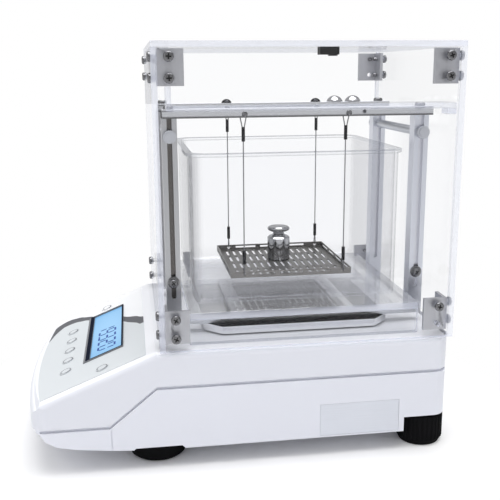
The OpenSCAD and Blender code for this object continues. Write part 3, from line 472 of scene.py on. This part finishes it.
# Painted shade: a dark band along the lower edge of the beams.
low_edge_painted_shade = (1.0 - bz.above(BEAM_LOW + 0.0016, 0.0012)) * bz.above(BEAM_LOW - 0.001, 0.0004)
tint(beam_metal, low_edge_painted_shade, rgb(0.16, 0.16, 0.165))
tint(beam_metal, beam_line_painted_shade, rgb(0.20, 0.20, 0.21))
UPPER_SLEEVE_Z, LOWER_SLEEVE_Z, SLEEVE_HALF = 0.2925, 0.1773, 0.0066
wz = wire_metal.axes()[2]
upper_sleeve = 1.0 - (wz - UPPER_SLEEVE_Z).abs().above(SLEEVE_HALF, 0.0002)
lower_sleeve = 1.0 - (wz - LOWER_SLEEVE_Z).abs().above(SLEEVE_HALF, 0.0002)
tint(wire_metal, upper_sleeve + lower_sleeve, rgb(0.035, 0.035, 0.038))
# Painted reflection: the top of the polished pan is painted near black and not metal, standing in for
# the dark studio it mirrors.
pan_top_painted_reflection = pan_steel.normals()[2].above(0.8, 0.2)
tint(pan_steel, pan_top_painted_reflection, rgb(0.012, 0.012, 0.014))
pan_steel.give("Metallic", 1.0 - pan_top_painted_reflection)
pan_steel.give("IOR", 1.08)
pan_steel.give("Specular IOR Level", 0.04)
CORNERS = ("front_right", "front_left", "rear_right", "rear_left")
post_metal.put_on(*(nodes["post_" + where] for where in CORNERS))
beam_metal.put_on(nodes["beam_right"], nodes["beam_left"], nodes["carrier"])
rod_metal.put_on(nodes["tie_rod_front"], nodes["tie_rod_rear"], nodes["rod_nuts"])
bracket_metal.put_on(nodes["corner_brackets"])
cast_metal.put_on(nodes["cell_base"], nodes["load_cell"], nodes["pan_spider"])
plated_metal.put_on(nodes["shell_screws"], nodes["beam_screws"], nodes["post_screws"],
                    nodes["hanger_pins"], nodes["bracket_screws"])
wire_metal.put_on(*(nodes["wire_" + where] for where in CORNERS))
basket_metal.put_on(nodes["basket"])
mirror_steel.put_on(nodes["knob_weight"])
pan_steel.put_on(nodes["pan"])
print("metals done")

# %% [markdown]
# Rubber, dark trim and the electronics. The feet are black rubber with a dull, slightly dusty
# skin. The boards inside the housing are never seen from outside, yet they carry a plain
# lacquered finish so that an opened model still reads as one.

# %% Rubber, trim and boards
rubber = Shader("rubber", Roughness=0.8, IOR=1.12)
dust = rubber.noise(60.0, 4.0)
rubber.give("Base Color", rubber.blend(dust, rgb(0.0035, 0.0035, 0.004), rgb(0.010, 0.010, 0.011)))
rubber.give("Roughness", 0.65 + 0.25 * dust)
rubber.bump(rubber.noise(1500.0), 0.00004, 0.5)
rubber.put_on(*(nodes["foot_" + where] for where in CORNERS))

dark_trim = moulded("dark_trim", rgb(0.006, 0.006, 0.007), 0.5)
dark_trim.put_on(nodes["lid_block"], nodes["power_socket"])
dome_metal = bar_metal("dome_metal", rgb(0.50, 0.50, 0.52), 0.22, (1, 1, 1), 400.0)
dy = dome_metal.axes()[1]
CAP_Y = 0.1148
tint(dome_metal, 1.0 - dy.above(CAP_Y, 0.001), rgb(0.03, 0.03, 0.033))
dome_metal.put_on(nodes["trim_discs"])
board_lacquer = moulded("board_lacquer", rgb(0.03, 0.16, 0.08), 0.35)
board_lacquer.put_on(nodes["front_board"], nodes["main_board"])
label_foil = bar_metal("label_foil", rgb(0.70, 0.725, 0.79), 0.45, ALONG_Y, 1500.0)
label_foil.give("Metallic", 0.15)
label_foil.put_on(nodes["label_plate"])
print("rubber, trim and boards done")

# %% [markdown]
# The control panel is a printed membrane. It is pale grey on the right. A dark swoosh starts wide
# at its front edge, thins out towards the display, runs behind it and comes out wider at the rear
# edge, and beyond it the print is white. Both edges of the swoosh are curves of the distance up
# the slope, and each is held as the stops of a ramp in millimetres.

# %% Printed membrane
SLOPE = math.radians(21.9)
SLOPE_Y, SLOPE_Z = -0.0776, 0.109
RUN, CROSS_LOW, CROSS = 120.0, -110.0, 130.0
OUTER = ((-118, -84), (-111.2, -94.4), (-102, -100.5), (-90.8, -98.7), (-79.3, -89.6), (-66.5, -73.6),
         (-48, -50.5), (-30.4, -27.4), (-15.3, -8.5), (-7, 2))
INNER = ((-118, -50), (-112.7, -65.2), (-105.1, -79.5), (-95.8, -83.4), (-83.5, -78.8), (-70.9, -66.5),
         (-52, -41), (-31.4, -13.1), (-15.6, 13.7), (-7, 27))
membrane = Shader("membrane", Roughness=0.42, IOR=1.5)
px, py = membrane.axes()[:2]
run = ((py - SLOPE_Y) * (1000.0 / math.cos(SLOPE)) + RUN) / RUN
across = px * 1000.0


def edge_curve(points):
    """The place across the panel, in millimetres, of a printed edge at this run up the slope."""
    stops = [((run_mm + RUN) / RUN, ((cross - CROSS_LOW) / CROSS,) * 3 + (1.0,))
             for run_mm, cross in points]
    ramp = membrane.node("ValToRGB", "Color", {"stops": stops}, {"Fac": run})
    ramp.out.node.color_ramp.interpolation = "CARDINAL"
    return ramp * CROSS + CROSS_LOW


past_outer = (across - edge_curve(OUTER)).above(0.0, 0.5)
past_inner = (across - edge_curve(INNER)).above(0.0, 0.5)
paper = membrane.blend(past_inner, rgb(0.83, 0.84, 0.86), rgb(0.60, 0.63, 0.655))
fine = membrane.noise(900.0)
swoosh = past_outer * (1.0 - past_inner)
membrane.give("Base Color", membrane.blend(swoosh, paper, rgb(0.075, 0.077, 0.09)))
membrane.give("Roughness", 0.36 + 0.12 * fine)
membrane.bump(fine, 0.00001, 0.4)
membrane.put_on(nodes["panel_overlay"])

key_skin = moulded("key_skin", rgb(0.60, 0.63, 0.655), 0.4)
key_skin.put_on(*(nodes[name] for name in nodes if name.startswith("key_")))
pale_key_skin = moulded("pale_key_skin", rgb(0.85, 0.86, 0.88), 0.4)
pale_key_skin.put_on(nodes["key_left"])
frame_gloss = Shader("frame_gloss", Roughness=0.5, IOR=1.08)
level_top = frame_gloss.normals()[2].above(0.8, 0.05)
side_grey, strip_black = rgb(0.22, 0.225, 0.24), rgb(0.003, 0.006, 0.018)
frame_gloss.give("Base Color", frame_gloss.blend(level_top, side_grey, strip_black))
frame_gloss.give("Roughness", 0.45 + 0.10 * frame_gloss.noise(60.0))
frame_gloss.put_on(nodes["display_frame"])
print("membrane printed,", len(OUTER) + len(INNER), "edge points")

# %% [markdown]
# The display is a lit blue glass. Its light is strongest in the middle and falls off towards the
# edges, where the light guide ends.

# %% Display glass
low, high = (Vector(corner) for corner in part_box("display"))
lcd_mid = (low + high) / 2
lit = Shader("lit_glass", Roughness=0.12, IOR=1.22, Emission_Strength=1.0)
FALL_X, FALL_Y = 0.075, 0.030
gx, gy = lit.axes()[:2]
fall = ((gx - lcd_mid.x) / FALL_X) ** 2.0 + ((gy - lcd_mid.y) / FALL_Y) ** 2.0
fall = fall.maths("MINIMUM", 1.0)
lit.give("Emission Color", lit.blend(fall, rgb(0.27, 0.52, 0.78), rgb(0.19, 0.43, 0.71)))
lit.give("Base Color", lit.blend(fall, rgb(0.05, 0.08, 0.12), rgb(0.03, 0.06, 0.10)))
lit.give("Roughness", 0.10 + 0.05 * lit.noise(50.0))
lit.put_on(nodes["display"])
print("display middle", [round(v, 4) for v in lcd_mid])

# %% [markdown]
# Real sheets, bars and brackets never have razor edges: acrylic is scraped and flame polished,
# and aluminium is deburred. A live bevel after a weld rounds the lid, ledge and bridge sheets, one
# beam, the carrier and the label plate without touching their CAD meshes, and it keeps to edges
# that are sharper than thirty degrees.


# %% Rounded edges on CAD nodes
def soften(name, width_mm, steps=2, angle=32):
    """Adds a weld and a bevel of a width to a CAD node."""
    piece = nodes[name]
    weld = piece.modifiers.new("weld", "WELD")
    weld.merge_threshold = 0.00001
    bevel = piece.modifiers.new("bevel", "BEVEL")
    bevel.width = width_mm * MM
    bevel.segments = steps
    bevel.limit_method = "ANGLE"
    bevel.angle_limit = math.radians(angle)
    bevel.harden_normals = False


for sheet_name in ("lid", "ledge", "ledge_block", "bridge_plate", "bridge_leg_right", "bridge_leg_left"):
    soften(sheet_name, 0.5)
for bar_name in ("beam_left", "carrier", "label_plate"):
    soften(bar_name, 0.25)
print("softened edges")

# %% [markdown]
# Small parts are modelled one by one. Each one starts from a primitive of its own size and is
# shaped in edit mode. The helpers below start a piece, pick faces or edges by a test on their
# place, and settle a finished piece: its transform goes into its mesh, and it rides on a body.


# %% Modelling helpers
def only(piece):
    """Selects one object and makes it active."""
    bpy.ops.object.select_all(action="DESELECT")
    piece.select_set(True)
    bpy.context.view_layer.objects.active = piece


def pick(piece, kind, test):
    """In edit mode, selects the faces, edges or vertices that pass the test."""
    mesh = bmesh.from_edit_mesh(piece.data)
    modes = {"faces": "FACE", "edges": "EDGE", "verts": "VERT"}
    bpy.ops.mesh.select_mode(type=modes[kind])
    bpy.ops.mesh.select_all(action="DESELECT")
    mesh = bmesh.from_edit_mesh(piece.data)
    for part in getattr(mesh, kind):
        part.select_set(bool(test(part)))
    bmesh.update_edit_mesh(piece.data)


def settle(piece, name, matrix, shader, body, smooth=30):
    """Puts a piece where matrix says, in its mesh, and gives it its finish and body."""
    piece.name = piece.data.name = name
    piece.data.transform(matrix)
    only(piece)
    bpy.ops.object.shade_smooth_by_angle(angle=math.radians(smooth))
    if shader:
        shader.put_on(piece)
    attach(piece, body)
    return piece


def twin(piece):
    """A copy of a piece with a mesh of its own."""
    other = piece.copy()
    other.data = piece.data.copy()
    scene.collection.objects.link(other)
    return other


def join(pieces):
    """Joins pieces into the first one."""
    only(pieces[0])
    for piece in pieces:
        piece.select_set(True)
    bpy.ops.object.join()
    return bpy.context.object


def on_slope(x, down, out=0.0):
    """A place on the control panel: across, down the slope and out from it, in metres."""
    return (Matrix.Translation((0, SLOPE_Y, SLOPE_Z)) @ Matrix.Rotation(SLOPE, 4, "X")
            @ Matrix.Translation((x, -down, out)))


print("modelling helpers ready")

# %% [markdown]
# The bracket screws are pan heads with a cross recess. One screw is modelled: a cylinder whose
# top edge is bevelled to a low dome, a cross cutter taken away from it, and a shank below. It is
# then copied to every hole of the eight brackets, apart from the two that are empty.

# %% Cross-recessed screw
# Painted shade: the faces inside the cross recess get this near-black finish.
recess_painted_shade = moulded("recess_painted_shade", rgb(0.012, 0.012, 0.013), 0.6)
HEAD_R, HEAD_H, SHANK_R, SHANK_L = 4.3 * MM, 2.6 * MM, 2.0 * MM, 12.0 * MM


def screw_head(radius, height):
    """A pan head that stands on z = 0, with a cross recess in its crown."""
    bpy.ops.mesh.primitive_cylinder_add(vertices=32, radius=radius, depth=height,
                                        location=(0, 0, height / 2))
    head = bpy.context.object
    bpy.ops.object.transform_apply(location=True)
    bpy.ops.object.mode_set(mode="EDIT")
    pick(head, "edges", lambda e: all(v.co.z > height * 0.9 for v in e.verts))
    bpy.ops.mesh.bevel(offset=height * 0.6, segments=5)
    bpy.ops.object.mode_set(mode="OBJECT")
    arms = []
    for turn in (0, math.pi / 2):
        bpy.ops.mesh.primitive_cube_add(size=1, location=(0, 0, height), rotation=(0, 0, turn))
        arm = bpy.context.object
        arm.scale = (radius * 1.05, radius * 0.26, height * 0.95)
        bpy.ops.object.transform_apply(location=True, rotation=True, scale=True)
        arms.append(arm)
    for arm in arms:
        only(head)
        cut = head.modifiers.new("recess", "BOOLEAN")
        cut.operation = "DIFFERENCE"
        cut.solver = "EXACT"
        cut.object = arm
        bpy.ops.object.modifier_apply(modifier=cut.name)
        bpy.data.objects.remove(arm)
    head.data.materials.append(plated_metal.material)
    head.data.materials.append(recess_painted_shade.material)
    arm_reach, arm_half = radius * 0.526, radius * 0.131
    # Painted shade: faces inside the cross take the second, near-black material.
    for face in head.data.polygons:
        spots = [head.data.vertices[i].co for i in face.vertices]
        if all(max(abs(v.x), abs(v.y)) < arm_reach and min(abs(v.x), abs(v.y)) < arm_half
               for v in spots):
            face.material_index = 1
    return head


def round_bar(radius, low, tall, rim):
    """A shank or washer that stands on a height, with rounded rims."""
    bpy.ops.mesh.primitive_cylinder_add(vertices=32, radius=radius, depth=tall,
                                        location=(0, 0, low + tall / 2))
    bar = bpy.context.object
    bpy.ops.object.transform_apply(location=True)
    bpy.ops.object.mode_set(mode="EDIT")
    pick(bar, "edges", lambda e: abs(e.verts[0].co.z - e.verts[1].co.z) < 1e-9)
    bpy.ops.mesh.bevel(offset=rim, segments=2)
    bpy.ops.object.mode_set(mode="OBJECT")
    bar.data.materials.append(plated_metal.material)
    return bar


first = screw_head(HEAD_R, HEAD_H)
first = join([first, round_bar(SHANK_R, 0.1 * MM - SHANK_L, SHANK_L, 0.5 * MM)])
print("one screw:", len(first.data.polygons), "faces")

# %% [markdown]
# Every bracket has two screws in its side leg and two in its end leg. The places follow from the
# boxes of the panels and the brackets in the frame.

# %% Bracket screws
side_low, side_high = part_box("shield_right")
rear_low, rear_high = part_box("shield_rear")
front_low, front_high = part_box("shield_front")
bracket_low, bracket_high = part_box("corner_brackets")
BRACKET_H = 30 * MM
SCREW_IN = 9.5 * MM
SCREW_PITCH = 17.2 * MM
OUT_X, OUT_Y, OUT_Y_FRONT = side_high.x, rear_high.y, front_low.y
middles = (bracket_low.z + BRACKET_H / 2, bracket_high.z - BRACKET_H / 2)
empty = {(1, 1, 0, -1), (-1, 1, 1, -1)}
screws = []
for sx in (-1, 1):
    for sy in (-1, 1):
        for level_no, z_mid in enumerate(middles):
            for d in (-1, 1):
                z = z_mid + d * SCREW_PITCH / 2
                twist = Matrix.Rotation(0.5 * (sx + 2 * sy + 3 * d + level_no), 4, "Z")
                if (sx, sy, level_no, d) not in empty:
                    y = rear_low.y - SCREW_IN if sy > 0 else front_high.y + SCREW_IN
                    side = twin(first)
                    side.data.transform(Matrix.Translation((sx * OUT_X, y, z))
                                        @ Matrix.Rotation(sx * math.pi / 2, 4, "Y") @ twist)
                    screws.append(side)
                x = sx * (side_low.x - SCREW_IN)
                y = OUT_Y if sy > 0 else OUT_Y_FRONT
                end = twin(first)
                end.data.transform(Matrix.Translation((x, y, z))
                                   @ Matrix.Rotation(-sy * math.pi / 2, 4, "X") @ twist)
                screws.append(end)
bpy.data.objects.remove(first)
count = len(screws)
screws = join(screws)
settle(screws, "bracket_screw_set", Matrix.Identity(4), None, "base", 40)
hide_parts("bracket_screws")
print("bracket screws:", count)

# %% [markdown]
# The clamp screws in the post grooves have the same crossed head. Each one sits on a spring
# washer and a flat washer, whose rims are rounded, and its stem reaches into the groove.

# %% Clamp screws of the posts
WASHER_R, WASHER_H = 5.5 * MM, 1.0 * MM
SPRING_R, SPRING_H = 4.3 * MM, 0.8 * MM
CLAMP_R, CLAMP_H = 3.7 * MM, 2.8 * MM
STEM_R, STEM_L = 1.9 * MM, 3.7 * MM
clamp = screw_head(CLAMP_R, CLAMP_H)
clamp.data.transform(Matrix.Translation((0, 0, WASHER_H + SPRING_H - 0.02 * MM)))
clamp = join([clamp, round_bar(WASHER_R, 0.0, WASHER_H, 0.25 * MM),
              round_bar(SPRING_R, WASHER_H - 0.01 * MM, SPRING_H, 0.2 * MM),
              round_bar(STEM_R, -STEM_L, STEM_L, 0.1 * MM)])
clamp_low, clamp_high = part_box("post_screws")
seat = clamp_high.x - WASHER_H - SPRING_H - CLAMP_H + 0.02 * MM
clamps = []
for sx in (-1, 1):
    for y, turn in ((POST_Y, 0.6), (REAR_POST_Y, 2.1)):
        one = twin(clamp)
        one.data.transform(Matrix.Translation((sx * seat, y, (clamp_low.z + clamp_high.z) / 2))
                           @ Matrix.Rotation(sx * math.pi / 2, 4, "Y") @ Matrix.Rotation(turn, 4, "Z"))
        clamps.append(one)
bpy.data.objects.remove(clamp)
clamps = join(clamps)
settle(clamps, "post_clamp_screws", Matrix.Identity(4), None, "weighing_frame", 40)
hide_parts("post_screws")
print("clamp screws done")

# %% [markdown]
# The digits of the display are printed segments. One segment is a thin bar with pointed ends. It
# is copied for each lit stroke of a number, on the plane of the glass, slightly slanted as the
# digits of such displays are.

# %% Display digits
GLASS_OUT = 0.5 * MM
DIGIT_W, DIGIT_H, STROKE = 9.6 * MM, 17.2 * MM, 2.0 * MM
DIGIT_PITCH = 14.6 * MM
LCD_X, LCD_DOWN = -2.0 * MM, 48.2 * MM
READING_RIGHT = 16 * MM
INK_LIFT = 0.08 * MM
LEAN = 0.10
READING = "19.320"
LIT = {"0": "abcdef", "1": "bc", "2": "abged", "3": "abgcd", "9": "abcdfg"}
PLACES = {"a": (0, 1, 0), "b": (0.5, 0.5, 1), "c": (0.5, -0.5, 1), "d": (0, -1, 0),
          "e": (-0.5, -0.5, 1), "f": (-0.5, 0.5, 1), "g": (0, 0, 0)}


def segment(length):
    """A thin bar along X with pointed ends."""
    bpy.ops.mesh.primitive_cube_add(size=1, location=(0, 0, 0))
    bar = bpy.context.object
    bar.scale = (length, STROKE, 0.12 * MM)
    bpy.ops.object.transform_apply(scale=True)
    bpy.ops.object.mode_set(mode="EDIT")
    pick(bar, "edges", lambda e: abs(e.verts[0].co.x - e.verts[1].co.x) < 1e-9
         and abs(e.verts[0].co.y - e.verts[1].co.y) < 1e-9)
    bpy.ops.mesh.bevel(offset=STROKE * 0.42, segments=1)
    bpy.ops.object.mode_set(mode="OBJECT")
    return bar


ink = moulded("display_ink", rgb(0.01, 0.06, 0.30), 0.5)
strokes = []
column = 0
slant = Matrix.Identity(4)
slant[0][1] = LEAN
for sign in READING:
    if sign == ".":
        dot = segment(STROKE * 1.2)
        dot.data.transform(Matrix.Translation(((column - 0.5) * DIGIT_PITCH, -DIGIT_H / 2, 0)))
        strokes.append(dot)
        continue
    for stroke in LIT[sign]:
        sx, sy, turned = PLACES[stroke]
        bar = segment(DIGIT_H / 2 - 0.9 * STROKE if turned else DIGIT_W - 0.6 * STROKE)
        turn = Matrix.Rotation(math.pi / 2 if turned else 0, 4, "Z")
        spot = (sx * DIGIT_W + column * DIGIT_PITCH, sy * DIGIT_H / 2, 0)
        bar.data.transform(slant @ Matrix.Translation(spot) @ turn)
        strokes.append(bar)
    column += 1
digits = join(strokes)
start = LCD_X + READING_RIGHT - (column - 1) * DIGIT_PITCH / 2
settle(digits, "display_digits", on_slope(start, LCD_DOWN, GLASS_OUT + INK_LIFT), ink, "base")
print("digits:", READING)

# %% [markdown]
# Each key shows as a fine embossed ring in the membrane, coloured dark as painted shade of its edge. A
# ring starts as a filled circle that is inset, emptied and raised, and it rides on its own key.

# %% Key rings
KEY_UP, RING_SUNK = 1.2 * MM, 0.02 * MM
RING_OUT, RING_WIDE, RING_TALL = 5.2 * MM, 0.8 * MM, 0.22 * MM
# Painted shade: the raised rings are coloured dark in place of the shade along their edges.
ring_painted_shade = moulded("ring_painted_shade", rgb(0.13, 0.135, 0.16), 0.45)
for key_name in sorted(name for name in nodes if name.startswith("key_")):
    bpy.ops.mesh.primitive_circle_add(vertices=48, radius=RING_OUT, fill_type="NGON")
    ring = bpy.context.object
    bpy.ops.object.mode_set(mode="EDIT")
    bpy.ops.mesh.select_all(action="SELECT")
    bpy.ops.mesh.inset(thickness=RING_WIDE)
    bpy.ops.mesh.delete(type="FACE")
    bpy.ops.mesh.select_all(action="SELECT")
    bpy.ops.mesh.extrude_region_move(TRANSFORM_OT_translate={"value": (0, 0, RING_TALL)})
    bpy.ops.mesh.select_all(action="SELECT")
    bpy.ops.mesh.normals_make_consistent(inside=False)
    bpy.ops.object.mode_set(mode="OBJECT")
    key_low, key_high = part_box(key_name)
    middle = (key_low + key_high) / 2
    flat = on_slope(0, 0).inverted() @ middle
    settle(ring, "ring_" + key_name, on_slope(flat.x, -flat.y, KEY_UP - RING_SUNK), ring_painted_shade,
           key_name)
print("key rings done")
